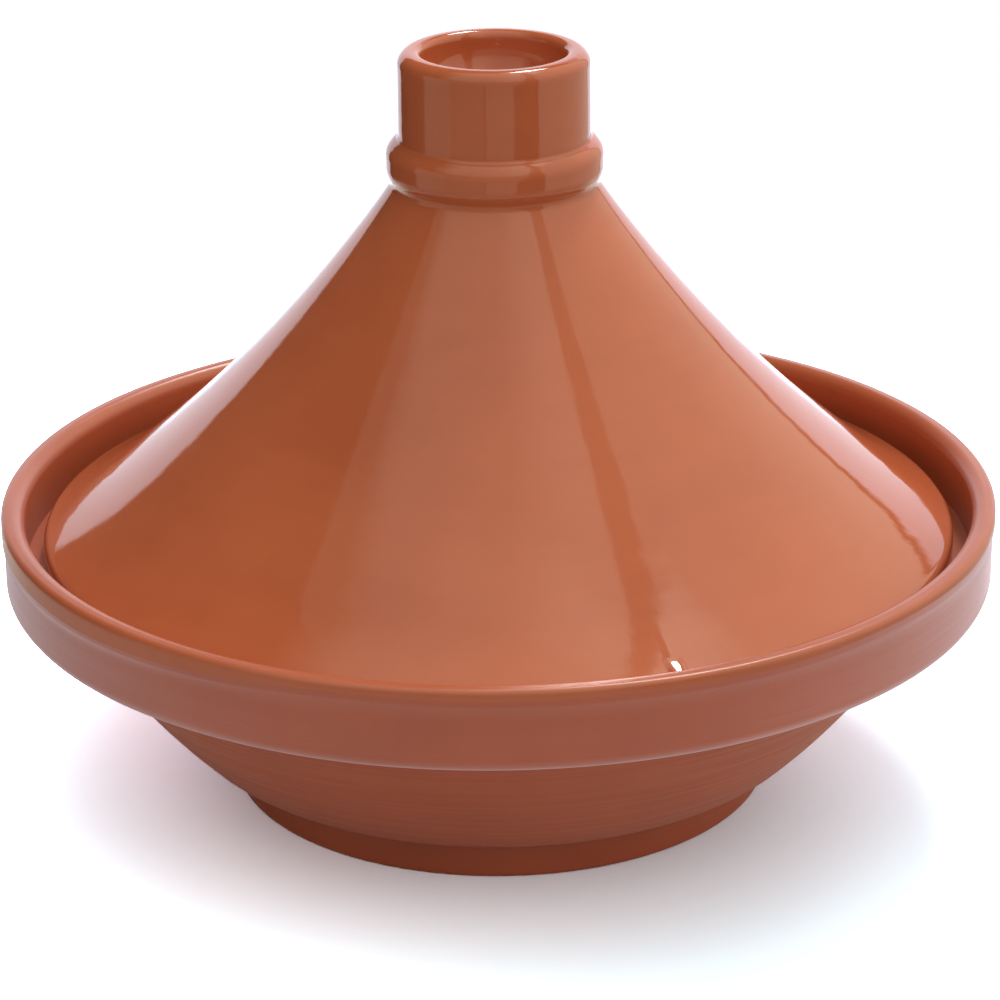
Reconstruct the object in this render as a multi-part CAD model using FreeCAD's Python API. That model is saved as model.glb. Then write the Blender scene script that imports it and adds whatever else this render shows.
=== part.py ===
"""Tagine pot: a footed earthenware dish with a gallery rim, and a conical lid with a hollow neck.

Millimetres, +Z up. The origin is the centre of the foot, on the surface that the pot stands on.
Every piece is turned on the wheel, so each is one closed outline swept about the Z axis.
"""
import FreeCAD, Part
import math
import os

# Rim: the gallery floor that the lid sits on, and the upright band around it
rim_radius = 155.0       # outside of the band
rim_wall = 6.6           # thickness of the upright wall
rim_height = 26.1        # underside of the gallery floor to the top of the lip
rim_lower_round = 4.0    # lower outside edge of the rim
lip_height = 9.8         # depth of the rolled lip at the top of the wall
lip_proud = 0.6          # how far the lip stands out from the band
lip_outer_round = 1.7    # outer top edge of the lip
lip_inner_round = 2.8    # inner top edge of the lip
ledge_thickness = 7.1    # gallery floor that carries the lid
ledge_round = 2.0        # inner edge of the gallery floor

# Bowl
bowl_height = 55.8       # top of the foot to the underside of the gallery floor
bowl_overhang = 17.0     # the rim stands this far out from the bowl wall
bowl_lip_width = 9.0     # top of the bowl wall, under the gallery floor
bowl_wall = 8.0          # floor and lower wall
bowl_turn_radius = 25.0  # outside curve from the underside into the wall
bowl_turn_angle = 45.0   # degrees above the table where that curve ends

# Foot ring
foot_radius = 85.2       # outside, on the table
foot_height = 12.6
foot_width = 13.5        # flat face on the table
foot_draft = 0.8         # the foot is this much narrower on each side at its top
foot_round = 1.4         # lower edges
foot_inset = 1.4         # the bowl starts to curve up this far inside the foot's outside

# Lid cone
lid_clearance = 5.6      # lid edge to the upright wall of the gallery
lid_edge_height = 9.0    # upright edge of the lid
lid_edge_round = 3.0     # upper corner of that edge
lid_seat_round = 2.0     # lower corner of that edge
lid_seat_width = 8.0     # flat ring that rests on the gallery floor
flare_width = 23.8       # edge to where the flare starts
flare_height = 24.45     # seat to where the flare starts
cone_height = 119.0      # seat to the flat top that carries the neck
cone_hollow = 4.6        # how far the cone's side bows in from a straight line
cone_wall = 7.0

# Neck and the roll of clay around its root
neck_radius = 29.4       # outside, at the root
neck_draft = 0.15        # the neck is this much narrower at its mouth
neck_height = 40.7       # flat top of the cone to the mouth
neck_wall = 7.4
neck_outer_round = 4.0   # outer edge of the mouth
neck_inner_round = 2.6   # inner edge of the mouth
cup_depth = 16.2         # mouth to the floor of the cup
cup_round = 13.0         # curve from the cup's wall into its floor
cup_floor = 7.0          # clay between the cup and the hollow under it
neck_hollow_round = 6.0  # upper corner of that hollow
bead_height = 13.7
bead_bulge = 3.85        # the roll stands this far out from the neck
bead_rise = 5.5          # cone's top to where the roll stands upright
bead_flat = 3.0          # upright stretch of the roll
bead_step = 1.5          # the roll's upper edge stands this far out from the neck
cone_shoulder = 2.1      # the cone's top edge stands this far out from the neck
seam_gap = 0.15          # slip joint between the roll and the neck

# Heights and radii that the pieces share
rim_bottom = foot_height + bowl_height
ledge_top = rim_bottom + ledge_thickness
rim_top = rim_bottom + rim_height
rim_inner_radius = rim_radius - rim_wall
bowl_top_radius = rim_radius - bowl_overhang
ledge_inner_radius = bowl_top_radius - bowl_lip_width
lid_edge_radius = rim_inner_radius - lid_clearance
cone_top = ledge_top + cone_height
cone_top_radius = neck_radius + cone_shoulder


def point(radius, height):
    """A point of an outline, in the XZ plane."""
    return FreeCAD.Vector(radius, 0, height)


def line(start, end):
    """A straight side of an outline."""
    return Part.LineSegment(start, end).toShape()


def bowed(start, end, rise):
    """An arc whose middle stands `rise` to the left of the straight way from start to end.

    Returns the arc and the directions in which it leaves start and reaches end.
    """
    chord = end - start
    left = FreeCAD.Vector(-chord.z, 0, chord.x).normalize()
    middle = (start + end) * 0.5 + left * rise
    half_turn = 2 * math.atan2(2 * rise, chord.Length)
    return (
        Part.Arc(start, middle, end).toShape(),
        turned_direction(chord, half_turn),
        turned_direction(chord, -half_turn),
    )


def turned_direction(direction, angle):
    """A direction in the XZ plane turned by an angle in radians, from X towards Z."""
    cosine = math.cos(angle)
    sine = math.sin(angle)
    return FreeCAD.Vector(
        direction.x * cosine - direction.z * sine, 0, direction.x * sine + direction.z * cosine
    ).normalize()


def leaving(start, direction, end):
    """The arc that leaves start in a direction and reaches end, with its direction there."""
    chord = end - start
    turn = math.atan2(
        chord.x * direction.z - chord.z * direction.x, chord.x * direction.x + chord.z * direction.z
    )
    rise = 0.5 * chord.Length * math.tan(0.5 * turn)
    arc, _, arrival = bowed(start, end, rise)
    return arc, arrival


def turned(sides):
    """The solid that a closed outline makes when it is turned about the Z axis."""
    face = Part.Face(Part.Wire(sides))
    return face.revolve(FreeCAD.Vector(0, 0, 0), FreeCAD.Vector(0, 0, 1), 360)


def eased(solid, corner, radius):
    """Round the circular edge that passes through an outline's corner."""
    reach = 1e-4
    edges = [
        edge for edge in solid.Edges
        if isinstance(edge.Curve, Part.Circle)
        and abs(edge.Curve.Radius - corner.x) < reach
        and abs(edge.Curve.Center.z - corner.z) < reach
    ]
    return solid.makeFillet(radius, edges)


def closed_outline(corners):
    """Straight sides through the corners and back to the first."""
    return [line(a, b) for a, b in zip(corners, corners[1:] + corners[:1])]


def make_foot_ring():
    """Ring of clay under the bowl, flat where it stands and where the bowl sits on it."""
    inner_radius = foot_radius - foot_width - 2 * foot_round
    outer_low = point(foot_radius, 0)
    outer_high = point(foot_radius - foot_draft, foot_height)
    inner_high = point(inner_radius + foot_draft, foot_height)
    inner_low = point(inner_radius, 0)
    ring = turned(closed_outline([outer_low, outer_high, inner_high, inner_low]))
    for corner in (outer_low, inner_low):
        ring = eased(ring, corner, foot_round)
    return ring


def make_bowl():
    """Bowl: a flat floor that curves up into a steep, slightly bellied wall."""
    flat_radius = foot_radius - foot_inset
    angle = math.radians(bowl_turn_angle)
    outward = FreeCAD.Vector(1, 0, 0)

    def side(turn_radius, floor_height, top_radius):
        """One face of the bowl: its floor edge, the curve into the wall, and the wall."""
        floor_edge = point(flat_radius, floor_height)
        turn_end = point(
            flat_radius + turn_radius * math.sin(angle),
            floor_height + turn_radius * (1 - math.cos(angle)),
        )
        top = point(top_radius, rim_bottom)
        turn, rising = leaving(floor_edge, outward, turn_end)
        wall, _ = leaving(turn_end, rising, top)
        return floor_edge, top, [turn, wall]

    under_edge, outer_top, outside = side(bowl_turn_radius, foot_height, bowl_top_radius)
    floor_edge, inner_top, inside = side(
        bowl_turn_radius - bowl_wall, foot_height + bowl_wall, ledge_inner_radius
    )
    under_centre = point(0, foot_height)
    floor_centre = point(0, foot_height + bowl_wall)
    return turned(
        [line(under_centre, under_edge)] + outside
        + [line(outer_top, inner_top)] + inside[::-1]
        + [line(floor_edge, floor_centre), line(floor_centre, under_centre)]
    )


def make_gallery_ledge():
    """Gallery floor: a flat ring on top of the bowl that carries the lid and the upright band."""
    outer_low = point(rim_radius, rim_bottom)
    inner_high = point(ledge_inner_radius, ledge_top)
    ledge = turned(closed_outline([
        point(ledge_inner_radius, rim_bottom), outer_low, point(rim_radius, ledge_top), inner_high,
    ]))
    ledge = eased(ledge, outer_low, rim_lower_round)
    return eased(ledge, inner_high, ledge_round)


def make_rim_band():
    """Band: the upright wall that stands on the gallery floor, with a rolled lip."""
    lip_radius = rim_radius + lip_proud
    lip_bottom = rim_top - lip_height
    outer_low = point(rim_radius, ledge_top)
    lip_low = point(rim_radius, lip_bottom)
    lip_swell = point(lip_radius, lip_bottom + lip_height / 2)
    lip_outer = point(lip_radius, rim_top)
    lip_inner = point(rim_inner_radius, rim_top)
    inner_low = point(rim_inner_radius, ledge_top)
    swell, _ = leaving(lip_low, FreeCAD.Vector(0, 0, 1), lip_swell)
    band = turned([
        line(outer_low, lip_low),
        swell,
        line(lip_swell, lip_outer),
        line(lip_outer, lip_inner),
        line(lip_inner, inner_low),
        line(inner_low, outer_low),
    ])
    band = eased(band, lip_outer, lip_outer_round)
    return eased(band, lip_inner, lip_inner_round)


def make_lid_cone():
    """Lid: a hollow cone with bowed-in sides that flares to an upright edge on a flat seat."""
    edge_low = point(lid_edge_radius, ledge_top)
    edge_high = point(lid_edge_radius, ledge_top + lid_edge_height)
    flare = point(lid_edge_radius - flare_width, ledge_top + flare_height)
    top = point(cone_top_radius, cone_top)
    side, leaves_flare, reaches_top = bowed(flare, top, cone_hollow)
    skirt, _ = leaving(flare, leaves_flare * -1, edge_high)

    # The inside follows the outside at the wall's thickness, and thickens towards the seat.
    inward = turned_direction(leaves_flare, math.pi / 2)
    inner_flare = flare + inward * cone_wall
    inner_top = point(cone_top_radius - cone_wall / abs(reaches_top.z), cone_top)
    seat_inner = point(lid_edge_radius - lid_seat_round - lid_seat_width, ledge_top)
    inner_side, _ = leaving(inner_flare, leaves_flare, inner_top)
    inner_skirt, _ = leaving(inner_flare, leaves_flare * -1, seat_inner)

    cone = turned([
        line(edge_low, edge_high), skirt, side,
        line(top, inner_top), inner_side, inner_skirt,
        line(seat_inner, edge_low),
    ])
    cone = eased(cone, edge_high, lid_edge_round)
    return eased(cone, edge_low, lid_seat_round)


def make_neck_cup():
    """Neck: an upright tube, open to the cone below and closed above by a shallow round cup."""
    mouth = cone_top + neck_height
    floor = mouth - cup_depth
    hollow_top = floor - cup_floor
    hollow_radius = neck_radius - neck_wall
    bore_radius = neck_radius - neck_draft - neck_wall
    mouth_outer = point(neck_radius - neck_draft, mouth)
    mouth_inner = point(bore_radius, mouth)
    cup_corner = point(bore_radius, floor)
    hollow_corner = point(hollow_radius, hollow_top)
    neck = turned(closed_outline([
        point(hollow_radius, cone_top), point(neck_radius, cone_top), mouth_outer, mouth_inner, cup_corner,
        point(0, floor), point(0, hollow_top), hollow_corner,
    ]))
    neck = eased(neck, mouth_outer, neck_outer_round)
    neck = eased(neck, mouth_inner, neck_inner_round)
    neck = eased(neck, cup_corner, cup_round)
    return eased(neck, hollow_corner, neck_hollow_round)


def make_neck_bead():
    """Roll of clay around the root of the neck, over the seam between neck and cone."""
    bore_radius = neck_radius + seam_gap
    crown_radius = neck_radius + bead_bulge
    top = cone_top + bead_height
    low_outer = point(cone_top_radius, cone_top)
    crown_low = point(crown_radius, cone_top + bead_rise)
    crown_high = point(crown_radius, cone_top + bead_rise + bead_flat)
    high_outer = point(neck_radius + bead_step, top)
    high_inner = point(bore_radius, top)
    low_inner = point(bore_radius, cone_top)
    lower, _ = leaving(crown_low, FreeCAD.Vector(0, 0, -1), low_outer)
    upper, _ = leaving(crown_high, FreeCAD.Vector(0, 0, 1), high_outer)
    return turned([
        line(low_inner, low_outer),
        lower,
        line(crown_low, crown_high),
        upper,
        line(high_outer, high_inner),
        line(high_inner, low_inner),
    ])


pieces = {
    "foot_ring": make_foot_ring(),
    "bowl": make_bowl(),
    "gallery_ledge": make_gallery_ledge(),
    "rim_band": make_rim_band(),
    "lid_cone": make_lid_cone(),
    "neck_bead": make_neck_bead(),
    "neck_cup": make_neck_cup(),
}

os.makedirs("parts", exist_ok=True)
for name, solid in pieces.items():
    solid.exportStep(f"parts/{name}.step")
    print(f"{name}: valid {solid.isValid()}, {len(solid.Solids)} solid, {solid.Volume / 1000:.1f} cm3")
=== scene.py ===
"""Looks of the tagine pot: seven turned clay pieces, their glaze and bare clay, and a studio around them.

Metres, +Z up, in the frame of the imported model. The outlines below are written in millimetres, as the
radius and height of a wall turned about the Z axis, and MM brings them to metres.
"""
import logging
import math
from abc import ABC, abstractmethod
from dataclasses import dataclass, field
from enum import Enum
from typing import Callable, Iterable

import bpy
from mathutils import Matrix, Vector

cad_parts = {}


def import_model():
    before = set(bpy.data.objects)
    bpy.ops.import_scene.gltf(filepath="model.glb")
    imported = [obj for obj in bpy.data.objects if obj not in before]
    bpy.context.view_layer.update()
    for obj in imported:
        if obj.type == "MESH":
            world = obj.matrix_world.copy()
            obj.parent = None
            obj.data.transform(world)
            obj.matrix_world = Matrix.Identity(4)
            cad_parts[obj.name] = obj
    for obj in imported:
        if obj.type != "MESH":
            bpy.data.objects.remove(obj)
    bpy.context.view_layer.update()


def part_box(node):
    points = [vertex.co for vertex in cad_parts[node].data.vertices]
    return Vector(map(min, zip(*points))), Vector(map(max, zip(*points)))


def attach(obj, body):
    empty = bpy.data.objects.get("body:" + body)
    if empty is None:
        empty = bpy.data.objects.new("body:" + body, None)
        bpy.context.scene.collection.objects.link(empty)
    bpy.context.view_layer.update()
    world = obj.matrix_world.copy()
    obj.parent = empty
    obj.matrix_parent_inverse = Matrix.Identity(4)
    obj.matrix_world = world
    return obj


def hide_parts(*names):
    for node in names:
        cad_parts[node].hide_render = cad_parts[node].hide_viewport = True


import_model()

MM = 0.001
WELD = 1e-6            # metres within which two points are one
SMOOTH_LIMIT = math.radians(38)
EASE_PITCH = 0.35      # millimetres between points around a rounded corner
IOR = 1.5
FRAME_WIDTH = 36.0     # of the camera, in millimetres

log = logging.getLogger("tagine")

Point = Span = tuple[float, float]
Triple = tuple[float, float, float]
Colour = tuple[float, float, float, float]
Ramp = tuple[float, float, float, float]    # where a change begins and ends, and the values there
Piece = bpy.types.Object
Socket = bpy.types.NodeSocket
Material = bpy.types.Material
Share = Callable[[Vector], float]           # a share from 0 to 1 for a point in metres


class Body(Enum):
    """The two rigid bodies of the pot."""

    DISH = "dish"
    LID = "lid"


class Slot(Enum):
    """The record's material slots."""

    BARE = "bare_terracotta"
    GLAZED = "glazed_terracotta"


def node_size(node: str) -> Triple:
    """Reads a CAD node's box.

    Args:
        node: name of the node.

    Returns:
        Its outer radius, its lowest height and its highest height, in millimetres.
    """
    low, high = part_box(node)
    return high.x / MM, low.z / MM, high.z / MM


@dataclass
class Side:
    """One side of an outline, up to the corner where it ends.

    Attributes:
        end: radius and height of that corner.
        bow: how far the side's middle stands to the left of the straight way, for an arc.
        ease: radius that the corner is rounded to.
        pitch: distance between the points along the side.
    """

    end: Point
    bow: float = 0.0
    ease: float = 0.0
    pitch: float = 3.0

    def points(self, start: Point) -> list[Vector]:
        """Spaces points along the side.

        Args:
            start: the corner where the side begins.

        Returns:
            Points from start to end, both included.
        """
        first = Vector(start)
        last = Vector(self.end)
        chord = last - first
        if not self.bow:
            count = max(1, math.ceil(chord.length / self.pitch))
            return [first.lerp(last, step / count) for step in range(count + 1)]
        turn = 4 * math.atan2(2 * self.bow, chord.length)
        radius = chord.length / (2 * math.sin(turn / 2))
        left = Vector((-chord.y, chord.x)).normalized()
        centre = (first + last) / 2 - left * radius * math.cos(turn / 2)
        count = max(2, math.ceil(abs(radius * turn) / self.pitch))
        spoke = first - centre
        return [
            centre + Matrix.Rotation(-turn * step / count, 2) @ spoke for step in range(count + 1)
        ]


def bow_leaving(start: Point, heading: Vector, end: Point) -> float:
    """Finds the arc that leaves a point in a given direction.

    Args:
        start: where the arc begins.
        heading: its direction there.
        end: where it ends.

    Returns:
        The arc's bow.
    """
    chord = Vector(end) - Vector(start)
    turn = math.atan2(chord.cross(heading), chord.dot(heading))
    return 0.5 * chord.length * math.tan(0.5 * turn)


@dataclass
class Outline:
    """The section of a turned piece, drawn from corner to corner, back to the first or from axis to axis.

    Attributes:
        start: first corner.
        sides: the sides that follow.
    """

    start: Point
    sides: list[Side] = field(default_factory=list)

    def add(self, *sides: Side) -> "Outline":
        """Adds sides to the end of the outline."""
        self.sides.extend(sides)
        return self

    def sweep_to(self, end: Point, pitch: float = 0.4) -> "Outline":
        """Adds an arc that carries on smoothly from the last side.

        Args:
            end: where the arc ends.
            pitch: distance between its points.

        Returns:
            The outline itself.
        """
        begin = self.sides[-2].end if len(self.sides) > 1 else self.start
        before, last = self.sides[-1].points(begin)[-2:]
        heading = (last - before).normalized()
        return self.add(Side(end, bow_leaving(self.sides[-1].end, heading, end), pitch=pitch))

    def ess_to(self, end: Point, share: float, pitch: float = 0.3) -> "Outline":
        """Adds two arcs, hollow and full, that leave the last corner and reach the next one upright.

        Args:
            end: where the second arc ends.
            share: where the arcs meet, as a share of the straight way.
            pitch: distance between the points.

        Returns:
            The outline itself.
        """
        start = self.sides[-1].end
        middle = Vector(start).lerp(Vector(end), share)
        meeting = (middle.x, middle.y)
        upward = Vector((0, 1))
        return self.add(
            Side(meeting, bow_leaving(start, upward, meeting), pitch=pitch),
            Side(end, -bow_leaving(end, -upward, meeting), pitch=pitch),
        )

    def drawn(self) -> list[Vector]:
        """Spaces points along the whole outline and rounds its eased corners.

        Returns:
            The points in order, in metres.
        """
        runs: list[list[Vector]] = []
        corner = self.start
        for side in self.sides:
            runs.append(side.points(corner))
            corner = side.end
        for index, side in enumerate(self.sides):
            if side.ease:
                self.round_corner(runs[index], runs[(index + 1) % len(runs)], side.ease)
        points = [runs[0][0]]
        for run in runs:
            points.extend(p for p in run if (p - points[-1]).length * MM > WELD)
        return [Vector((p.x, 0, p.y)) * MM for p in points]

    @staticmethod
    def round_corner(run: list[Vector], following: list[Vector], radius: float) -> None:
        """Trades the corner between two runs of points for an arc, which goes into the first run.

        Args:
            run: points that end at the corner.
            following: points that start at the corner.
            radius: radius of the arc.
        """
        corner = run[-1].copy()
        inward = (run[-1] - run[-2]).normalized()
        outward = (following[1] - following[0]).normalized()
        turn = math.atan2(inward.cross(outward), inward.dot(outward))
        reach = radius * math.tan(abs(turn) / 2)
        run[:] = [p for p in run if (p - corner).length > reach]
        following[:] = [p for p in following if (p - corner).length > reach]
        left = Vector((-inward.y, inward.x)) * math.copysign(1, turn)
        begin = corner - inward * reach
        centre = begin + left * radius
        count = max(4, math.ceil(abs(turn) * radius / EASE_PITCH))
        arc = [
            centre + Matrix.Rotation(turn * step / count, 2) @ (begin - centre)
            for step in range(count + 1)
        ]
        run.extend(arc)
        following.insert(0, arc[-1].copy())


@dataclass(frozen=True)
class Sector:
    """A stretch of the turn, in degrees, and the number of steps it is made in."""

    angle: float
    steps: int


EVEN_TURN = (Sector(360, 256),)
RUN_TURN = (Sector(62, 43), Sector(13, 84), Sector(285, 199))    # clockwise, fine where the glaze runs


def begin_alone() -> None:
    """Leaves edit mode and deselects everything, so that an operator acts only on what comes next."""
    if bpy.context.object and bpy.context.object.mode != "OBJECT":
        bpy.ops.object.mode_set(mode="OBJECT")
    bpy.ops.object.select_all(action="DESELECT")


def turn_piece(name: str, outline: Outline, sectors: Iterable[Sector] = EVEN_TURN) -> Piece:
    """Throws a piece on the wheel: draws its outline by extruding a point, and spins it about Z.

    Args:
        name: name of the new piece.
        outline: its section.
        sectors: how finely each stretch of the turn is made.

    Returns:
        The piece, a closed mesh with its faces outwards.
    """
    points = outline.drawn()
    begin_alone()
    bpy.ops.mesh.primitive_plane_add(size=MM, location=points[0])
    piece = bpy.context.active_object
    piece.name = name
    piece.data.name = name
    bpy.ops.object.transform_apply(location=True, rotation=True, scale=True)
    bpy.ops.object.mode_set(mode="EDIT")
    bpy.ops.mesh.select_all(action="SELECT")
    bpy.ops.mesh.merge(type="CENTER")
    for here, there in zip(points, points[1:]):
        bpy.ops.mesh.extrude_region_move(TRANSFORM_OT_translate={"value": there - here})
    bpy.ops.mesh.select_all(action="SELECT")
    bpy.ops.mesh.remove_doubles(threshold=WELD)
    for sector in sectors:
        bpy.ops.mesh.spin(
            steps=sector.steps, angle=math.radians(sector.angle), center=(0, 0, 0), axis=(0, 0, 1)
        )
    bpy.ops.mesh.select_all(action="SELECT")
    bpy.ops.mesh.remove_doubles(threshold=WELD)
    bpy.ops.mesh.normals_make_consistent(inside=False)
    bpy.ops.object.mode_set(mode="OBJECT")
    bpy.ops.object.shade_smooth_by_angle(angle=SMOOTH_LIMIT)
    return piece


def radius_of(point: Vector) -> float:
    """Distance of a point from the pot's axis, in millimetres."""
    return math.hypot(point.x, point.y) / MM


def weigh(piece: Piece, name: str, share: Share) -> str:
    """Makes a vertex group that says how far each point of a piece takes part in what follows.

    Args:
        piece: the piece.
        name: name of the group.
        share: gives a share from 0 to 1 for a point, in metres.

    Returns:
        The group's name.
    """
    group = piece.vertex_groups.new(name=name)
    for vertex in piece.data.vertices:
        weight = share(vertex.co)
        if weight > 0:
            group.add([vertex.index], min(weight, 1.0), "REPLACE")
    return group.name


def displace(piece: Piece, name: str, group: str, distance: float, **settings: object) -> None:
    """Displaces a piece for good.

    Args:
        piece: the piece.
        name: name of the change.
        group: vertex group that takes part.
        distance: how far it moves, in millimetres.
        settings: other properties of the modifier.
    """
    begin_alone()
    piece.select_set(True)
    bpy.context.view_layer.objects.active = piece
    change = piece.modifiers.new(name, "DISPLACE")
    change.strength = distance * MM
    change.vertex_group = group
    for key, value in settings.items():
        setattr(change, key, value)
    bpy.context.view_layer.update()
    bpy.ops.object.modifier_apply(modifier=change.name)


@dataclass(frozen=True)
class HandMarks:
    """Unevenness that hands and wheel leave in wet clay.

    Attributes:
        around: size of the marks around the pot, in millimetres.
        upwards: size of the marks up the wall.
        depth: from the deepest to the highest point.
    """

    around: float
    upwards: float
    depth: float

    def press(self, piece: Piece, group: str) -> None:
        """Displaces a piece by the marks, as far as a vertex group of it takes part."""
        begin_alone()
        bpy.ops.object.empty_add()
        grid = bpy.context.active_object
        grid.scale = (self.around * MM, self.around * MM, self.upwards * MM)
        texture = bpy.data.textures.new("hand_marks", "CLOUDS")
        texture.noise_scale = 1.0
        texture.noise_depth = 1
        displace(piece, "hand_marks", group, self.depth, texture=texture, texture_coords="OBJECT",
                 texture_coords_object=grid, mid_level=0.5)
        bpy.data.objects.remove(grid)
        bpy.data.textures.remove(texture)


def bell(offset: float) -> float:
    """A smooth hump: 1 at no offset, 0 from an offset of 1 on."""
    return max(0.0, 1.0 - offset * offset) ** 2


@dataclass(frozen=True)
class GlazeRun:
    """A run of glaze that gathers in a drop low on the lid.

    Attributes:
        azimuth: where it runs, in degrees from the pot's front to its right.
        top_radius: radius where it starts.
        drop_radius: radius of the drop's middle.
        half_width: half the width of the drop.
        half_length: half the length of the drop.
        depth: how far the drop stands out.
        trail: height of the run above the drop, as a share of the drop's.
        trail_width: half the width of that run.
    """

    azimuth: float = 21.5
    top_radius: float = 122.0
    drop_radius: float = 141.0
    half_width: float = 3.0
    half_length: float = 8.5
    depth: float = 1.3
    trail: float = 0.10
    trail_width: float = 2.5

    def share(self, point: Vector) -> float:
        """How far the glaze stands out at a point, as a share of the drop's depth."""
        turn = math.radians(self.azimuth)
        across = (point.x * math.cos(turn) + point.y * math.sin(turn)) / MM
        along = (point.x * math.sin(turn) - point.y * math.cos(turn)) / MM
        flat_topped = bell((across / self.half_width) ** 2)
        drop = flat_topped * bell((along - self.drop_radius) / self.half_length)
        if not self.top_radius < along < self.drop_radius:
            return drop
        grown = (along - self.top_radius) / (self.drop_radius - self.top_radius)
        return max(drop, self.trail * grown * bell(across / self.trail_width))

    def swell(self, piece: Piece, lowest: float) -> None:
        """Raises the run on a piece.

        Args:
            piece: the piece.
            lowest: height below which the piece is left alone, in millimetres.
        """
        group = weigh(piece, "glaze_run", lambda p: self.share(p) if p.z / MM > lowest else 0.0)
        displace(piece, "glaze_run", group, self.depth, mid_level=0.0)


RINGS = HandMarks(around=90, upwards=4.5, depth=0.09)
DIMPLES = HandMarks(around=22, upwards=16, depth=0.12)
SWAY = HandMarks(around=120, upwards=60, depth=0.5)


def mark(piece: Piece, share: Share, *marks: HandMarks) -> None:
    """Presses hand marks into a piece, each point taking its share of them."""
    group = weigh(piece, "marked", share)
    for kind in marks:
        kind.press(piece, group)


class Nodes:
    """A small hand for wiring a node tree."""

    def __init__(self, tree: bpy.types.NodeTree) -> None:
        """Starts with an empty tree."""
        self.tree = tree
        tree.nodes.clear()

    def add(self, kind: str, inputs: dict | None = None, **settings: object) -> bpy.types.Node:
        """Adds a node.

        Args:
            kind: the node's type.
            inputs: value or output socket for each input, by name or index.
            settings: other properties of the node.

        Returns:
            The node.
        """
        node = self.tree.nodes.new(kind)
        for key, value in settings.items():
            setattr(node, key, value)
        for key, value in (inputs or {}).items():
            if isinstance(value, Socket):
                self.tree.links.new(value, node.inputs[key])
            else:
                node.inputs[key].default_value = value
        return node

    def math(self, operation: str, *values: object) -> Socket:
        """Adds a Math node on up to three values or sockets and returns its output."""
        inputs = dict(enumerate(values))
        return self.add("ShaderNodeMath", inputs, operation=operation).outputs[0]

    def step(self, value: Socket, low: float, high: float,
             to_low: float = 0.0, to_high: float = 1.0) -> Socket:
        """Adds a smooth step from one value to another.

        Args:
            value: what is measured.
            low: where the step begins.
            high: where it ends.
            to_low: result before it.
            to_high: result after it.

        Returns:
            The stepped value.
        """
        inputs = {"Value": value, "From Min": low, "From Max": high, "To Min": to_low, "To Max": to_high}
        node = self.add("ShaderNodeMapRange", inputs, interpolation_type="SMOOTHSTEP", clamp=True)
        return node.outputs["Result"]

    def blend(self, share: object, first: object, second: object) -> Socket:
        """Mixes two colours.

        Args:
            share: how much of the second colour there is.
            first: colour or socket.
            second: colour or socket.

        Returns:
            The mixed colour.
        """
        mix = self.add("ShaderNodeMix", data_type="RGBA")
        sockets = {"Factor_Float": share, "A_Color": first, "B_Color": second}
        for socket in mix.inputs:
            value = sockets.get(socket.identifier)
            if isinstance(value, Socket):
                self.tree.links.new(value, socket)
            elif value is not None:
                socket.default_value = value
        return next(s for s in mix.outputs if s.identifier == "Result_Color")

    def noise(self, coordinates: Socket, scale: Triple,
              detail: float = 2.0) -> Socket:
        """Adds noise stretched by a scale along each axis.

        Args:
            coordinates: where it is read.
            scale: cells per metre along X, Y and Z.
            detail: octaves.

        Returns:
            The noise, from 0 to 1.
        """
        place = self.add("ShaderNodeMapping", {"Vector": coordinates, "Scale": scale})
        inputs = {"Vector": place.outputs["Vector"], "Scale": 1.0, "Detail": detail}
        return self.add("ShaderNodeTexNoise", inputs).outputs["Fac"]


def colour(red: float, green: float, blue: float) -> Colour:
    """An opaque linear colour."""
    return (red, green, blue, 1.0)


# Noise in the finishes, in cells per metre along X, Y and Z
CLOUD_CELLS = (24, 24, 32)
BAND_CELLS = (12, 12, 200)
SPECK_CELLS = (1400, 1400, 1400)
HAZE_CELLS = (60, 60, 90)
PEEL_CELLS = (240, 240, 340)
LINE_CELLS = (14, 14, 900)
GRAIN_CELLS = (1100, 1100, 1100)


@dataclass(frozen=True)
class Clay:
    """Fired red clay, as its colour varies through the body.

    Attributes:
        deep: colour of the darker clouds.
        body: main colour.
        warm: colour of the lighter clouds.
        grain: colour of the fine dark grains.
    """

    deep: Colour = colour(0.470, 0.110, 0.047)
    body: Colour = colour(0.495, 0.119, 0.051)
    warm: Colour = colour(0.515, 0.126, 0.055)
    grain: Colour = colour(0.360, 0.080, 0.033)

    def mottled(self, nodes: Nodes, place: Socket, grains: float) -> Socket:
        """Wires the clay's colour.

        Args:
            nodes: the material's node tree.
            place: Object coordinates.
            grains: how strongly the fine grains show.

        Returns:
            The colour.
        """
        clouds = nodes.noise(place, CLOUD_CELLS, 4)
        bands = nodes.noise(place, BAND_CELLS)
        tone = nodes.math("ADD", nodes.math("MULTIPLY", clouds, 0.85), nodes.math("MULTIPLY", bands, 0.15))
        dark = nodes.blend(nodes.step(tone, 0.34, 0.52), self.deep, self.body)
        light = nodes.blend(nodes.step(tone, 0.50, 0.68), dark, self.warm)
        specks = nodes.noise(place, SPECK_CELLS, 1)
        share = nodes.step(specks, 0.60, 0.78, 0.0, grains)
        return nodes.blend(share, light, self.grain)


# Painted shade: the clay under the dish's glaze is a darker copy of the lid's clay. It stands in for the
# dish's lip and inside getting less light.
SHADED_DISH_CLAY = Clay(
    deep=colour(0.432, 0.102, 0.045),
    body=colour(0.455, 0.110, 0.049),
    warm=colour(0.474, 0.117, 0.053),
)


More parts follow.
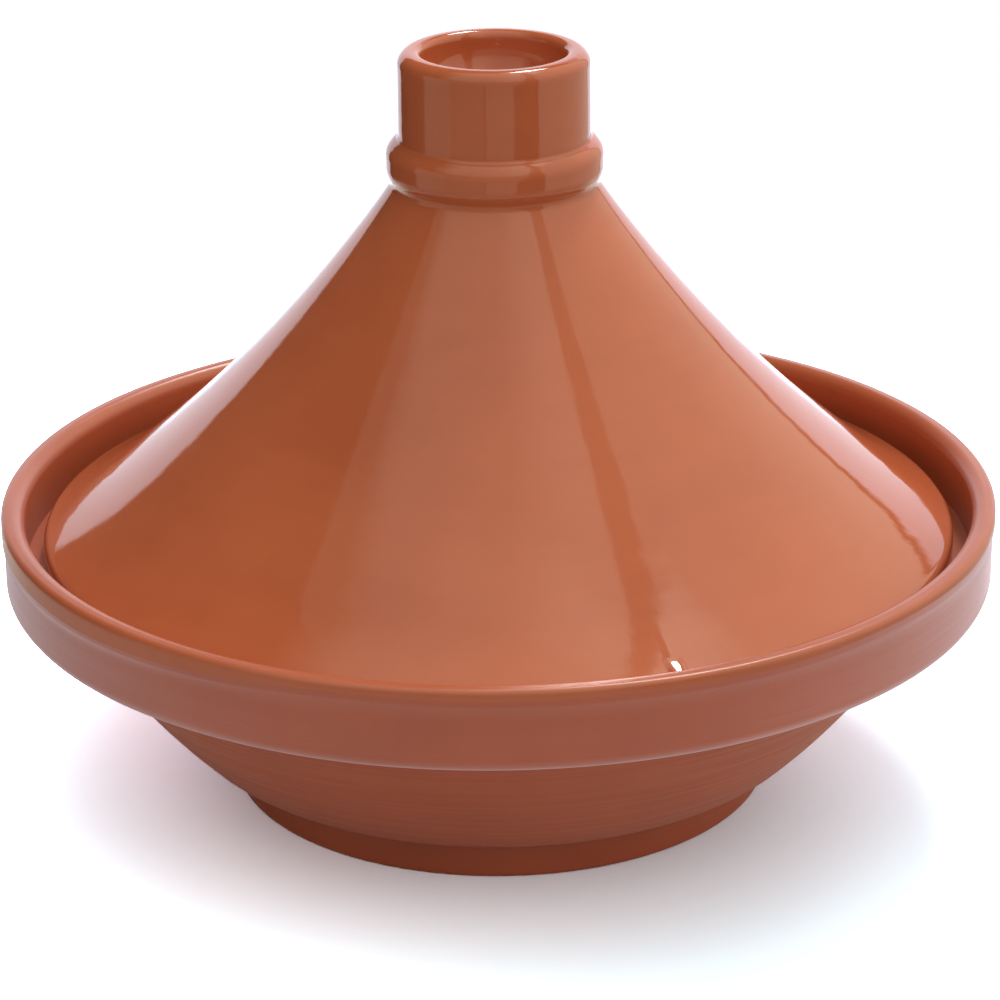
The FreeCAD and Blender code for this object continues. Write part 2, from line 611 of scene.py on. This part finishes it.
class Finish(ABC):
    """How a face of the pot looks."""

    @abstractmethod
    def wire(self, nodes: Nodes, place: Socket) -> tuple[dict, Socket, float]:
        """Wires what sets the finish apart.

        Args:
            nodes: the material's node tree.
            place: Object coordinates.

        Returns:
            Inputs of the shader, height of the fine relief, and its depth in millimetres.
        """

    def material(self, name: str) -> Material:
        """Makes the material with this name."""
        finish = bpy.data.materials.new(name)
        finish.use_nodes = True
        nodes = Nodes(finish.node_tree)
        place = nodes.add("ShaderNodeTexCoord").outputs["Object"]
        inputs, height, depth = self.wire(nodes, place)
        bump = nodes.add("ShaderNodeBump", {"Strength": 1.0, "Distance": depth * MM, "Height": height})
        inputs = {**inputs, "IOR": IOR, "Normal": bump.outputs["Normal"]}
        shader = nodes.add("ShaderNodeBsdfPrincipled", inputs)
        nodes.add("ShaderNodeOutputMaterial", {"Surface": shader.outputs["BSDF"]})
        return finish


@dataclass(frozen=True)
class Glaze(Finish):
    """Clear glossy glaze over the clay.

    Attributes:
        clay: the clay under it.
        grains: how strongly the clay's dark grains show.
        roughness: lowest roughness.
        haze: how much rougher the dullest spots are.
        peel: depth of the fine unevenness of the glass, in millimetres.
    """

    clay: Clay = Clay()
    grains: float = 0.12
    roughness: float = 0.045
    haze: float = 0.05
    peel: float = 0.02

    def wire(self, nodes: Nodes, place: Socket) -> tuple[dict, Socket, float]:
        """Wires the clay, the spots of haze and the uneven glass."""
        haze = nodes.noise(place, HAZE_CELLS)
        inputs = {
            "Base Color": self.clay.mottled(nodes, place, self.grains),
            "Roughness": nodes.step(haze, 0.35, 0.75, self.roughness, self.roughness + self.haze),
        }
        return inputs, nodes.noise(place, PEEL_CELLS), self.peel


@dataclass(frozen=True)
class Bare(Finish):
    """Unglazed clay, smoothed on the wheel to a satin face with fine turning lines.

    Attributes:
        clay: the clay.
        grains: how strongly its dark grains show.
        roughness: roughness of the smoothest lines.
        drag: how much rougher the dullest lines are.
        lines: depth of the turning lines, in millimetres.
        bloom: strength of the pale bloom that bare clay shows at a low angle.
        bloom_spread: how far from the edge the bloom shows.
        bloom_tint: colour of the bloom.
    """

    clay: Clay = Clay(
        deep=colour(0.390, 0.074, 0.029),
        body=colour(0.410, 0.080, 0.031),
        warm=colour(0.428, 0.086, 0.035),
        grain=colour(0.310, 0.055, 0.020),
    )
    grains: float = 0.3
    roughness: float = 0.36
    drag: float = 0.16
    lines: float = 0.025
    bloom: float = 0.05
    bloom_spread: float = 0.48
    bloom_tint: Colour = colour(0.92, 0.80, 1.0)

    def wire(self, nodes: Nodes, place: Socket) -> tuple[dict, Socket, float]:
        """Wires the clay, its turning lines and its bloom."""
        lines = nodes.noise(place, LINE_CELLS)
        grain = nodes.noise(place, GRAIN_CELLS, 1)
        height = nodes.math("ADD", nodes.math("MULTIPLY", lines, 0.7), nodes.math("MULTIPLY", grain, 0.3))
        inputs = {
            "Base Color": self.clay.mottled(nodes, place, self.grains),
            "Roughness": nodes.step(lines, 0.3, 0.7, self.roughness, self.roughness + self.drag),
            "Sheen Weight": self.bloom,
            "Sheen Roughness": self.bloom_spread,
            "Sheen Tint": self.bloom_tint,
        }
        return inputs, height, self.lines


def dress(piece: Piece, *finishes: Material) -> None:
    """Puts materials on a piece, the first one all over."""
    piece.data.materials.clear()
    for finish in finishes:
        piece.data.materials.append(finish)


def repaint(piece: Piece, slot: int, chosen: Callable[[Vector, Vector], bool]) -> None:
    """Gives some faces of a piece another of its materials.

    Args:
        piece: the piece.
        slot: index of the material.
        chosen: says for a face's centre and normal whether it is repainted.
    """
    for face in piece.data.polygons:
        if chosen(face.center, face.normal):
            face.material_index = slot


def place(piece: Piece, body: Body, slot: Slot, *nodes: str) -> None:
    """Puts a finished piece on its body in place of CAD nodes.

    Args:
        piece: the piece.
        body: the body that it rides on.
        slot: not used; the record's material slot for the piece.
        nodes: the CAD nodes that it stands for.
    """
    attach(piece, body.value)
    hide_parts(*nodes)
    triangles = sum(len(face.vertices) - 2 for face in piece.data.polygons)
    log.info("%s rides on %s, %d triangles", piece.name, body.value, triangles)


@dataclass
class Dish:
    """The dish: foot ring, bowl, gallery floor and the upright band with its lip.

    Attributes:
        foot_width: flat face of the foot on the table.
        foot_draft: how much narrower the foot is on each side at its top.
        foot_round: lower edges of the foot.
        foot_cut: what its rounded lower edge takes off its outside.
        foot_inset: the bowl starts to curve up this far inside the foot's outside.
        bowl_wall: thickness of the bowl's floor and lower wall.
        bowl_lip_width: top of the bowl's wall, under the gallery floor.
        turn_radius: outside curve from the bowl's underside into its wall.
        turn_angle: where that curve ends, in degrees above the table.
        rim_wall: thickness of the band.
        rim_round: lower outside edge of the rim.
        lip_height: depth of the rolled lip.
        lip_outer_round: outer top edge of the lip.
        lip_inner_round: inner top edge of the lip.
        lip_fall: how much lower the lip's outer edge is than its inner one.
        glaze_line: how far below the lip's top the glaze ends outside.
        glaze_sag: how much further it reaches where it has run the most.
        sag_azimuth: where that is, in degrees from the pot's front to its right.
        sag_spread: how far it is from there to where the glaze hasn't run.
        glaze_waver: height of the small waves in the line, as a share of glaze_sag.
        glaze_room: clay above the line that moves with it.
        bare_room: clay below the line that moves with it.
        ledge_round: inner edge of the gallery floor.
        rim_bloom: strength of the pale bloom on the bare outside of the rim.
        glaze_roughness: lowest roughness of the dish's glaze, which is duller than the lid's.
        bare: finish of the foot and the bowl's outside.
        bloomed: finish of the rim's outside.
        glazed: finish of the inside and the lip.
    """

    foot_width: float = 13.5
    foot_draft: float = 0.8
    foot_round: float = 1.4
    foot_cut: float = 0.1
    foot_inset: float = 1.4
    bowl_wall: float = 8.0
    bowl_lip_width: float = 9.0
    turn_radius: float = 25.0
    turn_angle: float = 45.0
    rim_wall: float = 6.6
    rim_round: float = 4.0
    lip_height: float = 9.8
    lip_outer_round: float = 1.7
    lip_inner_round: float = 4.0
    lip_fall: float = 0.6
    glaze_line: float = 2.9
    glaze_sag: float = 4.2
    sag_azimuth: float = -66.0
    sag_spread: float = 55.0
    glaze_waver: float = 0.05
    glaze_room: float = 0.7
    bare_room: float = 9.0
    ledge_round: float = 2.0
    rim_bloom: float = 1.0
    glaze_roughness: float = 0.29
    bare: Material = field(init=False)
    bloomed: Material = field(init=False)
    glazed: Material = field(init=False)

    def build(self) -> None:
        """Builds and dresses the four pieces of the dish."""
        self.bare = Bare().material("bare_clay")
        self.bloomed = Bare(bloom=self.rim_bloom).material("bloomed_clay")
        self.glazed = Glaze(clay=SHADED_DISH_CLAY, roughness=self.glaze_roughness).material("dish_glaze")
        self.build_foot()
        self.build_bowl()
        self.build_ledge()
        self.build_band()

    def flat_radius(self) -> float:
        """Radius of the bowl's flat underside."""
        top_radius, _, _ = node_size("foot_ring")
        return round(top_radius, 1) + self.foot_cut - self.foot_inset

    def build_foot(self) -> None:
        """Turns the foot ring."""
        _, low, high = node_size("foot_ring")
        outer = self.flat_radius() + self.foot_inset
        inner = outer - self.foot_width - 2 * self.foot_round
        ring = turn_piece("dish_foot", Outline((outer, low)).add(
            Side((outer - self.foot_draft, high), pitch=0.8),
            Side((inner + self.foot_draft, high)),
            Side((inner, low), ease=self.foot_round, pitch=1.5),
            Side((outer, low), ease=self.foot_round),
        ))
        mark(ring, lambda p: min(p.z / MM, high - p.z / MM) / 2, SWAY, RINGS)
        dress(ring, self.bare)
        place(ring, Body.DISH, Slot.BARE, "foot_ring")

    def bowl_side(self, turn_radius: float, floor: float, top: Point, pitch: float) -> list[Side]:
        """Draws one face of the bowl from the edge of its flat floor to its top.

        Args:
            turn_radius: radius of the curve into the wall.
            floor: height of the flat floor.
            top: upper end of the wall.
            pitch: distance between points.

        Returns:
            The curve and the wall.
        """
        angle = math.radians(self.turn_angle)
        flat = self.flat_radius()
        turn_end = (flat + turn_radius * math.sin(angle), floor + turn_radius * (1 - math.cos(angle)))
        outward = Vector((1, 0))
        rising = Vector((math.cos(angle), math.sin(angle)))
        return [
            Side(turn_end, bow_leaving((flat, floor), outward, turn_end), pitch=pitch),
            Side(top, bow_leaving(turn_end, rising, top), pitch=pitch),
        ]

    def build_bowl(self) -> None:
        """Turns the bowl, bare outside and glazed inside."""
        top_radius, low, high = node_size("bowl")
        flat = self.flat_radius()
        floor = low + self.bowl_wall
        inner_top = (top_radius - self.bowl_lip_width, high)
        outside = self.bowl_side(self.turn_radius, low, (top_radius, high), 1.0)
        inside = self.bowl_side(self.turn_radius - self.bowl_wall, floor, inner_top, 2.0)
        curve, wall = inside
        outline = Outline((0.0, low)).add(
            Side((flat, low), pitch=9.0), *outside, Side(inner_top),
            Side(curve.end, -wall.bow, pitch=wall.pitch),
            Side((flat, floor), -curve.bow, pitch=curve.pitch),
            Side((0.0, floor), pitch=9.0),
        )
        bowl = turn_piece("dish_bowl", outline)
        mark(bowl, lambda p: min(p.z / MM - low, high - p.z / MM) / 4, SWAY, RINGS)
        dress(bowl, self.bare, self.glazed)
        repaint(bowl, 1, lambda c, n: c.z / MM > floor - 0.5 and n.x * c.x + n.y * c.y < n.z * MM)
        place(bowl, Body.DISH, Slot.BARE, "bowl")

    def build_ledge(self) -> None:
        """Turns the gallery floor, bare outside and glazed on top."""
        outer, low, high = node_size("gallery_ledge")
        bowl_radius, _, _ = node_size("bowl")
        inner = bowl_radius - self.bowl_lip_width
        ledge = turn_piece("dish_ledge", Outline((outer, low)).add(
            Side((outer, high), pitch=0.6),
            Side((inner, high), ease=self.ledge_round, pitch=4.0),
            Side((inner, low)),
            Side((outer, low), ease=self.rim_round, pitch=3.0),
        ))
        mark(ledge, lambda p: (radius_of(p) - outer + 4) / 3, SWAY, RINGS)
        dress(ledge, self.bloomed, self.glazed)
        repaint(ledge, 1, lambda c, n: radius_of(c) < outer - self.rim_round and n.z > -0.5)
        place(ledge, Body.DISH, Slot.BARE, "gallery_ledge")

    def sag(self, point: Vector, line: float) -> float:
        """How far the clay at a point moves down with the line where the glaze ends.

        Args:
            point: a point outside the band, in metres.
            line: height of the line before the glaze runs, in millimetres.

        Returns:
            A share of glaze_sag.
        """
        azimuth = math.atan2(point.x, -point.y)
        run = bell((math.degrees(azimuth) - self.sag_azimuth) / self.sag_spread)
        waver = self.glaze_waver * (2 + math.sin(5 * azimuth) + math.sin(11 * azimuth + 2))
        above_line = point.z / MM - line
        away = above_line / self.glaze_room if above_line > 0 else -above_line / self.bare_room
        return min(1.0, run + waver) * max(0.0, 1.0 - away)

    def build_band(self) -> None:
        """Turns the upright band and its rolled lip, glazed inside and over the lip."""
        outer, _, _ = node_size("gallery_ledge")
        lip_radius, low, high = node_size("rim_band")
        inner = outer - self.rim_wall
        lip_low = high - self.lip_height
        line = high - self.glaze_line
        swell = (lip_radius, lip_low + self.lip_height / 2)
        upward = Vector((0, 1))
        band = turn_piece("dish_band", Outline((outer, low)).add(
            Side((outer, lip_low), pitch=0.8),
            Side(swell, bow_leaving((outer, lip_low), upward, swell), pitch=0.5),
            Side((lip_radius, line), pitch=0.5),
            Side((lip_radius, high - self.lip_fall), ease=self.lip_outer_round, pitch=0.3),
            Side((inner, high), ease=self.lip_inner_round, pitch=0.5),
            Side((inner, low), pitch=0.9),
            Side((outer, low)),
        ), (Sector(360, 320),))
        dress(band, self.bloomed, self.glazed)
        repaint(band, 1, lambda c, n: c.z / MM > line or radius_of(c) < outer - 1)
        outside = outer - 0.5
        group = weigh(band, "glaze_line", lambda p: self.sag(p, line) if radius_of(p) > outside else 0.0)
        displace(band, "glaze_line", group, -self.glaze_sag, direction="Z", mid_level=0.0)
        mark(band, lambda p: 1.0, SWAY, RINGS)
        place(band, Body.DISH, Slot.GLAZED, "rim_band")


@dataclass
class Lid:
    """The lid: flared cone, neck and the roll of clay around its root.

    Attributes:
        edge_height: upright edge of the cone.
        edge_round: upper corner of that edge.
        seat_round: lower corner of that edge.
        seat_width: flat ring that rests on the gallery floor.
        flare_width: edge to where the flare starts.
        flare_height: seat to where the flare starts.
        side_hollow: how far the cone's side bows in.
        cone_wall: thickness of the cone.
        shoulder: the cone's top edge stands this far out from the neck.
        groove: depth of the glaze that fills the corner under the roll.
        neck_draft: how much narrower the neck is at its mouth.
        neck_wall: thickness of the neck.
        mouth_outer_round: outer edge of the mouth.
        mouth_inner_round: inner edge of the mouth.
        cup_depth: mouth to the floor of the cup.
        cup_round: curve from the cup's wall into its floor.
        cup_floor: clay under the cup.
        hollow_wall: thickness of the neck below the cup.
        hollow_round: upper corner of the hollow below the cup.
        roll_rise: the roll's flat side starts this far above the cone's top.
        roll_flat: height of that flat side.
        rise_share: how far up the hollow of the groove gives way to the roll.
        weld_height: the glaze above the roll reaches this far over the roll's own top.
        weld_share: how far up the roll gives way to the hollow of the glaze above it.
        seam: slip joint between the roll and the neck.
        glazed: finish of the whole lid.
    """

    edge_height: float = 9.0
    edge_round: float = 3.0
    seat_round: float = 2.0
    seat_width: float = 8.0
    flare_width: float = 23.8
    flare_height: float = 24.45
    side_hollow: float = 4.6
    cone_wall: float = 7.0
    shoulder: float = 2.1
    groove: float = 0.45
    neck_draft: float = 0.15
    neck_wall: float = 7.4
    mouth_outer_round: float = 4.0
    mouth_inner_round: float = 2.6
    cup_depth: float = 16.2
    cup_round: float = 13.0
    cup_floor: float = 7.0
    hollow_wall: float = 7.4
    hollow_round: float = 6.0
    roll_rise: float = 5.5
    roll_flat: float = 3.0
    rise_share: float = 0.3
    weld_height: float = 0.8
    weld_share: float = 0.8
    seam: float = 0.15
    glazed: Material = field(init=False)

    def build(self) -> None:
        """Builds and dresses the three pieces of the lid."""
        self.glazed = Glaze().material("lid_glaze")
        self.build_cone()
        self.build_roll()
        self.build_neck()

    def build_cone(self) -> None:
        """Turns the cone, finely on the stretch that carries a run of glaze."""
        edge, seat, top = node_size("lid_cone")
        rim = (edge, seat + self.edge_height)
        flare = (edge - self.flare_width, seat + self.flare_height)
        neck, _, _ = node_size("neck_cup")
        crest = (neck + self.shoulder, top)
        side = Side(crest, self.side_hollow, pitch=1.1)
        run = side.points(flare)
        leaving = (run[1] - run[0]).normalized()
        reaching = (run[-1] - run[-2]).normalized()
        skirt_bow = -bow_leaving(flare, -leaving, rim)
        inner_flare = Vector(flare) + Vector((-leaving.y, leaving.x)) * self.cone_wall
        inner_top = (crest[0] - self.cone_wall / reaching.y, top)
        seat_inner = (edge - self.seat_round - self.seat_width, seat)
        inner_flare_point = (inner_flare.x, inner_flare.y)
        tilt = math.acos(reaching.y)
        drop = self.groove / (math.tan(tilt) - math.tan(tilt / 2))
        fillet = run[-1] - reaching * drop / reaching.y
        fillet_start = (fillet.x, fillet.y)
        arc_to_groove = Side(fillet_start, bow_leaving(flare, leaving, fillet_start), pitch=1.1)
        outline = Outline((edge, seat)).add(
            Side(rim, ease=self.edge_round, pitch=1.0),
            Side(flare, skirt_bow, pitch=0.5),
            arc_to_groove,
        )
        outline.sweep_to((crest[0] + self.groove, top))
        outline.add(
            Side(inner_top),
            Side(inner_flare_point, -bow_leaving(inner_flare_point, leaving, inner_top), pitch=3.0),
            Side(seat_inner, bow_leaving(inner_flare_point, -leaving, seat_inner), pitch=3.0),
            Side((edge, seat), ease=self.seat_round),
        )
        cone = turn_piece("lid_cone_shell", outline, RUN_TURN)
        mark(cone, lambda p: min(p.z / MM - seat - 2, top - p.z / MM) / 3, RINGS, DIMPLES)
        GlazeRun().swell(cone, seat + self.edge_height / 2)
        dress(cone, self.glazed)
        place(cone, Body.LID, Slot.GLAZED, "lid_cone")

    def build_roll(self) -> None:
        """Turns the roll of clay around the neck, with glaze in the corners above and below it."""
        crown_radius, low, high = node_size("neck_bead")
        neck, _, _ = node_size("neck_cup")
        bore = neck + self.seam
        waist = (neck + self.shoulder + self.groove, low)
        brow = (crown_radius, low + self.roll_rise + self.roll_flat)
        outline = Outline((bore, low)).add(Side(waist))
        outline.ess_to((crown_radius, low + self.roll_rise), self.rise_share)
        outline.add(Side(brow, pitch=0.4))
        outline.ess_to((neck, high + self.weld_height), self.weld_share)
        outline.add(Side((bore, low)))
        roll = turn_piece("lid_roll", outline)
        dress(roll, self.glazed)
        place(roll, Body.LID, Slot.GLAZED, "neck_bead")

    def build_neck(self) -> None:
        """Turns the neck: a tube open to the cone below, closed above by a shallow cup."""
        root, low, mouth = node_size("neck_cup")
        outer = root - self.neck_draft
        bore = outer - self.neck_wall
        floor = mouth - self.cup_depth
        hollow_top = floor - self.cup_floor
        hollow = root - self.hollow_wall
        outline = Outline((0.0, hollow_top)).add(
            Side((hollow, hollow_top), ease=self.hollow_round, pitch=4.0),
            Side((hollow, low), pitch=4.0),
            Side((root, low), pitch=4.0),
            Side((outer, mouth), ease=self.mouth_outer_round, pitch=0.9),
            Side((bore, mouth), ease=self.mouth_inner_round, pitch=0.4),
            Side((bore, floor), ease=self.cup_round, pitch=1.2),
            Side((0.0, floor), pitch=1.5),
        )
        neck = turn_piece("lid_neck", outline)
        mark(neck, lambda p: (p.z / MM - low) / 6, RINGS)
        dress(neck, self.glazed)
        place(neck, Body.LID, Slot.GLAZED, "neck_cup")


@dataclass(frozen=True)
class Edge:
    """Edge of a lit board, as the plane or cone through the pot that it lies in.

    Attributes:
        normal: points to the lit side.
        softness: half the width of its soft stretch, as a sine.
        offset: sine of the angle by which the edge stands off the plane across the normal.
    """

    normal: Vector
    softness: float = 0.02
    offset: float = 0.0


def beyond(azimuth: float, softness: float = 0.02) -> Edge:
    """The upright edge of a board that lies beyond an azimuth."""
    turn = math.radians(azimuth)
    return Edge(Vector((math.cos(turn), math.sin(turn), 0)), softness)


def before(azimuth: float, softness: float = 0.02) -> Edge:
    """The upright edge of a board that lies before an azimuth."""
    return Edge(-beyond(azimuth).normal, softness)


def above(elevation: float, softness: float = 0.02) -> Edge:
    """The lower edge of a board."""
    return Edge(Vector((0, 0, 1)), softness, math.sin(math.radians(elevation)))


def below(elevation: float, softness: float = 0.02) -> Edge:
    """The upper edge of a board."""
    return Edge(Vector((0, 0, -1)), softness, -math.sin(math.radians(elevation)))


@dataclass(frozen=True)
class Board:
    """A lit board or softbox in the studio, seen from the pot.

    Attributes:
        edges: its edges.
        low: brightness below the horizon.
        high: brightness overhead.
        tint: colour of its light.
        glow: share by which it is brighter towards the right.
    """

    edges: tuple[Edge, ...]
    low: float
    high: float
    tint: Triple = (1.0, 1.0, 1.0)
    glow: float = 0.0


@dataclass
class Studio:
    """White floor, boards of light all round, and the camera.

    Attributes:
        floor_radius: radius of the floor, in metres.
        floor_end: distances from the pot where it starts to fade and where it is gone.
        floor_seen: colour of the floor as the camera sees it.
        painted_light_across: how much paler it is from left to right, as painted light. It is strongest on
            the left, where it lightens the pot's shadow.
        painted_light_back: how much paler it is from front to back, as painted light that lightens the
            pot's shadow towards the back.
        painted_bounce_across: colour of the floor from left to right, as the light on the pot sees it. It
            is painted light standing in for how brightly the table is lit there.
        painted_bounce_outward: how much of that is left away from the pot, a painted fall-off of the
            bounced light.
        painted_bounce_back: how much brighter it is from front to back, as painted light in what the floor
            bounces onto the pot.
        room: brightness between the boards.
        board_rise: sines of the elevations between which a board's brightness changes.
        board_glow: sines to the right between which its glow sets in.
        board_tint: colour of the light from the front, the right and above.
        backdrop_tint: colour of the light from behind.
        core_tint: colour of that light low down, straight behind the pot.
        camera_place: where the camera stands, in millimetres.
        camera_aim: height on the pot's axis that it looks at.
        camera_lens: focal length.
        camera_roll: turn about its own line of sight, in degrees.
        camera_shift: shift of the frame, in frame widths.
    """

    floor_radius: float = 0.60
    floor_end: Span = (0.372, 0.588)
    floor_seen: Triple = (1.29, 1.54, 1.93)
    painted_light_across: Ramp = (-0.14, 0.09, 2.0, 0.97)
    painted_light_back: Ramp = (-0.06, 0.06, 1.0, 1.28)
    painted_bounce_across: Ramp = (-0.15, 0.20, 0.88, 0.82)
    painted_bounce_outward: Ramp = (0.17, 0.40, 1.0, 0.5)
    painted_bounce_back: Ramp = (0.08, 0.30, 1.0, 2.6)
    room: float = 0.03
    board_rise: Span = (-0.4, 1.0)
    board_glow: Span = (0.0, 0.35)
    board_tint: Triple = (1.0, 1.0, 0.84)
    backdrop_tint: Triple = (0.97, 0.94, 1.03)
    core_tint: Triple = (0.80, 0.95, 1.12)
    camera_place: Triple = (0.0, -1069.4, 512.5)
    camera_aim: float = 89.5
    camera_lens: float = 131.23
    camera_roll: float = -0.6
    camera_shift: tuple[float, float] = (0.00175, -0.0005)

    def boards(self) -> list[Board]:
        """Lists the boards of light.

        Returns:
            Front board in six parts, right board, ceiling, softbox, the gap beside it, key
            light, and backdrop in three parts.
        """
        front_end = Edge(Vector((-0.826, -0.476, 0.302)), offset=0.022)
        right_end = Edge(Vector((0.715, 0.608, -0.347)), offset=-0.022)
        left_side = Vector((0.478, -0.802, 0.359))
        left_end = Edge(left_side, 0.012, 0.02)
        left_fade = Edge(left_side, 0.14, 0.15)
        backdrop_slope = Edge(Vector((0.376, 0.465, -0.801)))
        warm = self.board_tint
        cool = self.backdrop_tint
        return [
            Board((beyond(-91, 0.04), before(-52, 0.03), below(20, 0.1)), 0.60, 0.60, warm),
            Board((beyond(-91, 0.04), before(-11.4, 0.006), below(20, 0.1)), 0.43, 0.43, warm),
            Board((beyond(-9.8, 0.006), front_end, below(-8.6, 0.006)), 0.65, 0.65, warm),
            Board((beyond(-11.4, 0.006), front_end, above(-7.6, 0.006), below(20, 0.1)), 0.5, 0.5, warm),
            Board((front_end, left_end, above(22, 0.12)), 0.04, 0.45, warm),
            Board((front_end, left_fade, above(22, 0.12)), 0.1, 1.15, warm, glow=0.45),
            Board((right_end, beyond(54), before(145.4, 0.012)), 0.85, 1.4, warm),
            Board((front_end, above(66, 0.06)), 1.3, 1.3, warm, glow=0.7),
            Board((right_end, above(57, 0.08), beyond(84, 0.03), before(176)), 2.6, 2.6, warm),
            Board((beyond(20), before(150), above(35, 0.15)), 0.55, 0.55, warm),
            Board((above(49), below(62), beyond(154), before(169)), 36.0, 36.0),
            Board((beyond(147, 0.012), before(-145), backdrop_slope, below(26, 0.02)), 1.4, 1.4, cool),
            Board((beyond(147), before(-145), backdrop_slope, below(48, 0.10)), 0.7, 0.7, cool),
            Board((beyond(162, 0.08), before(-162, 0.08), below(4, 0.12)), 1.9, 1.9, self.core_tint),
        ]

    def build(self) -> None:
        """Builds the floor, the light and the camera."""
        self.build_floor()
        self.build_light()
        self.build_camera()

    def build_floor(self) -> None:
        """Lays the floor, a white disc that fades out far from the pot, with painted light graded across
        it.
        """
        begin_alone()
        bpy.ops.mesh.primitive_circle_add(vertices=96, radius=self.floor_radius, fill_type="NGON")
        floor = bpy.context.active_object
        floor.name = "floor"
        finish = bpy.data.materials.new("white_floor")
        finish.use_nodes = True
        nodes = Nodes(finish.node_tree)
        place_on_floor = nodes.add("ShaderNodeTexCoord").outputs["Object"]
        reach = nodes.add("ShaderNodeVectorMath", {0: place_on_floor}, operation="LENGTH").outputs["Value"]
        gone = nodes.step(reach, *self.floor_end)
        seen = nodes.add("ShaderNodeLightPath").outputs["Is Camera Ray"]
        axes = nodes.add("ShaderNodeSeparateXYZ", {"Vector": place_on_floor}).outputs
        # Painted light: the floor the camera sees is made paler to the left and to the back, which
        # lightens the pot's shadow there.
        painted_light_x = nodes.step(axes["X"], *self.painted_light_across)
        fade = nodes.math("MULTIPLY", painted_light_x, nodes.step(axes["Y"], *self.painted_light_back))
        # Painted light in what the floor bounces onto the pot: graded from left to right, brighter towards
        # the back, and weaker away from the pot.
        painted_bounce_across = nodes.step(axes["X"], *self.painted_bounce_across)
        painted_bounce_near = nodes.math("MULTIPLY", painted_bounce_across, nodes.step(reach, *self.painted_bounce_outward))
        bounce = nodes.math("MULTIPLY", painted_bounce_near, nodes.step(axes["Y"], *self.painted_bounce_back))
        bright = nodes.add("ShaderNodeVectorMath", {0: self.floor_seen, "Scale": fade}, operation="SCALE")
        tone = nodes.blend(seen, bounce, bright.outputs["Vector"])
        surface = nodes.add("ShaderNodeBsdfDiffuse", {"Color": tone})
        clear = nodes.add("ShaderNodeBsdfTransparent")
        mixed = nodes.add("ShaderNodeMixShader", {0: gone, 1: surface.outputs[0], 2: clear.outputs[0]})
        nodes.add("ShaderNodeOutputMaterial", {"Surface": mixed.outputs[0]})
        floor.data.materials.append(finish)
        log.info("floor laid")

    def build_light(self) -> None:
        """Hangs the boards of light in the world, behind a background that the camera sees as white."""
        world = bpy.data.worlds.new("studio")
        world.use_nodes = True
        bpy.context.scene.world = world
        nodes = Nodes(world.node_tree)
        toward = nodes.add("ShaderNodeTexCoord").outputs["Generated"]
        axes = nodes.add("ShaderNodeSeparateXYZ", {"Vector": toward}).outputs
        room = dict.fromkeys("XYZ", self.room)
        total = nodes.add("ShaderNodeCombineXYZ", room).outputs["Vector"]
        for board in self.boards():
            level = nodes.step(axes["Z"], *self.board_rise, board.low, board.high)
            if board.glow:
                glow = nodes.step(axes["X"], *self.board_glow, 1.0, 1.0 + board.glow)
                level = nodes.math("MULTIPLY", level, glow)
            for edge in board.edges:
                ends = {0: toward, 1: edge.normal}
                side = nodes.add("ShaderNodeVectorMath", ends, operation="DOT_PRODUCT").outputs["Value"]
                within = nodes.step(side, edge.offset - edge.softness, edge.offset + edge.softness)
                level = nodes.math("MULTIPLY", level, within)
            light = nodes.add("ShaderNodeVectorMath", {0: board.tint, "Scale": level}, operation="SCALE")
            brighter = {0: total, 1: light.outputs["Vector"]}
            total = nodes.add("ShaderNodeVectorMath", brighter, operation="MAXIMUM").outputs["Vector"]
        seen = nodes.add("ShaderNodeLightPath").outputs["Is Camera Ray"]
        shown = nodes.blend(seen, total, colour(1, 1, 1))
        sky = nodes.add("ShaderNodeBackground", {"Color": shown, "Strength": 1.0})
        nodes.add("ShaderNodeOutputWorld", {"Surface": sky.outputs[0]})
        log.info("light hung")

    def build_camera(self) -> None:
        """Sets up the camera at the photograph's place."""
        begin_alone()
        bpy.ops.object.camera_add(location=Vector(self.camera_place) * MM)
        camera = bpy.context.active_object
        sight = Vector((0, 0, self.camera_aim * MM)) - camera.location
        roll = Matrix.Rotation(math.radians(self.camera_roll), 3, "Z")
        camera.rotation_euler = (sight.to_track_quat("-Z", "Y").to_matrix() @ roll).to_euler()
        camera.data.lens = self.camera_lens
        camera.data.sensor_width = FRAME_WIDTH
        camera.data.shift_x, camera.data.shift_y = self.camera_shift
        bpy.context.scene.camera = camera
        bpy.context.scene.view_settings.view_transform = "Standard"
        log.info("camera set")


def main() -> None:
    """Builds the studio, the dish and the lid."""
    logging.basicConfig(level=logging.INFO, format="%(name)s: %(message)s")
    Studio().build()
    Dish().build()
    Lid().build()


if __name__ == "__main__":
    main()
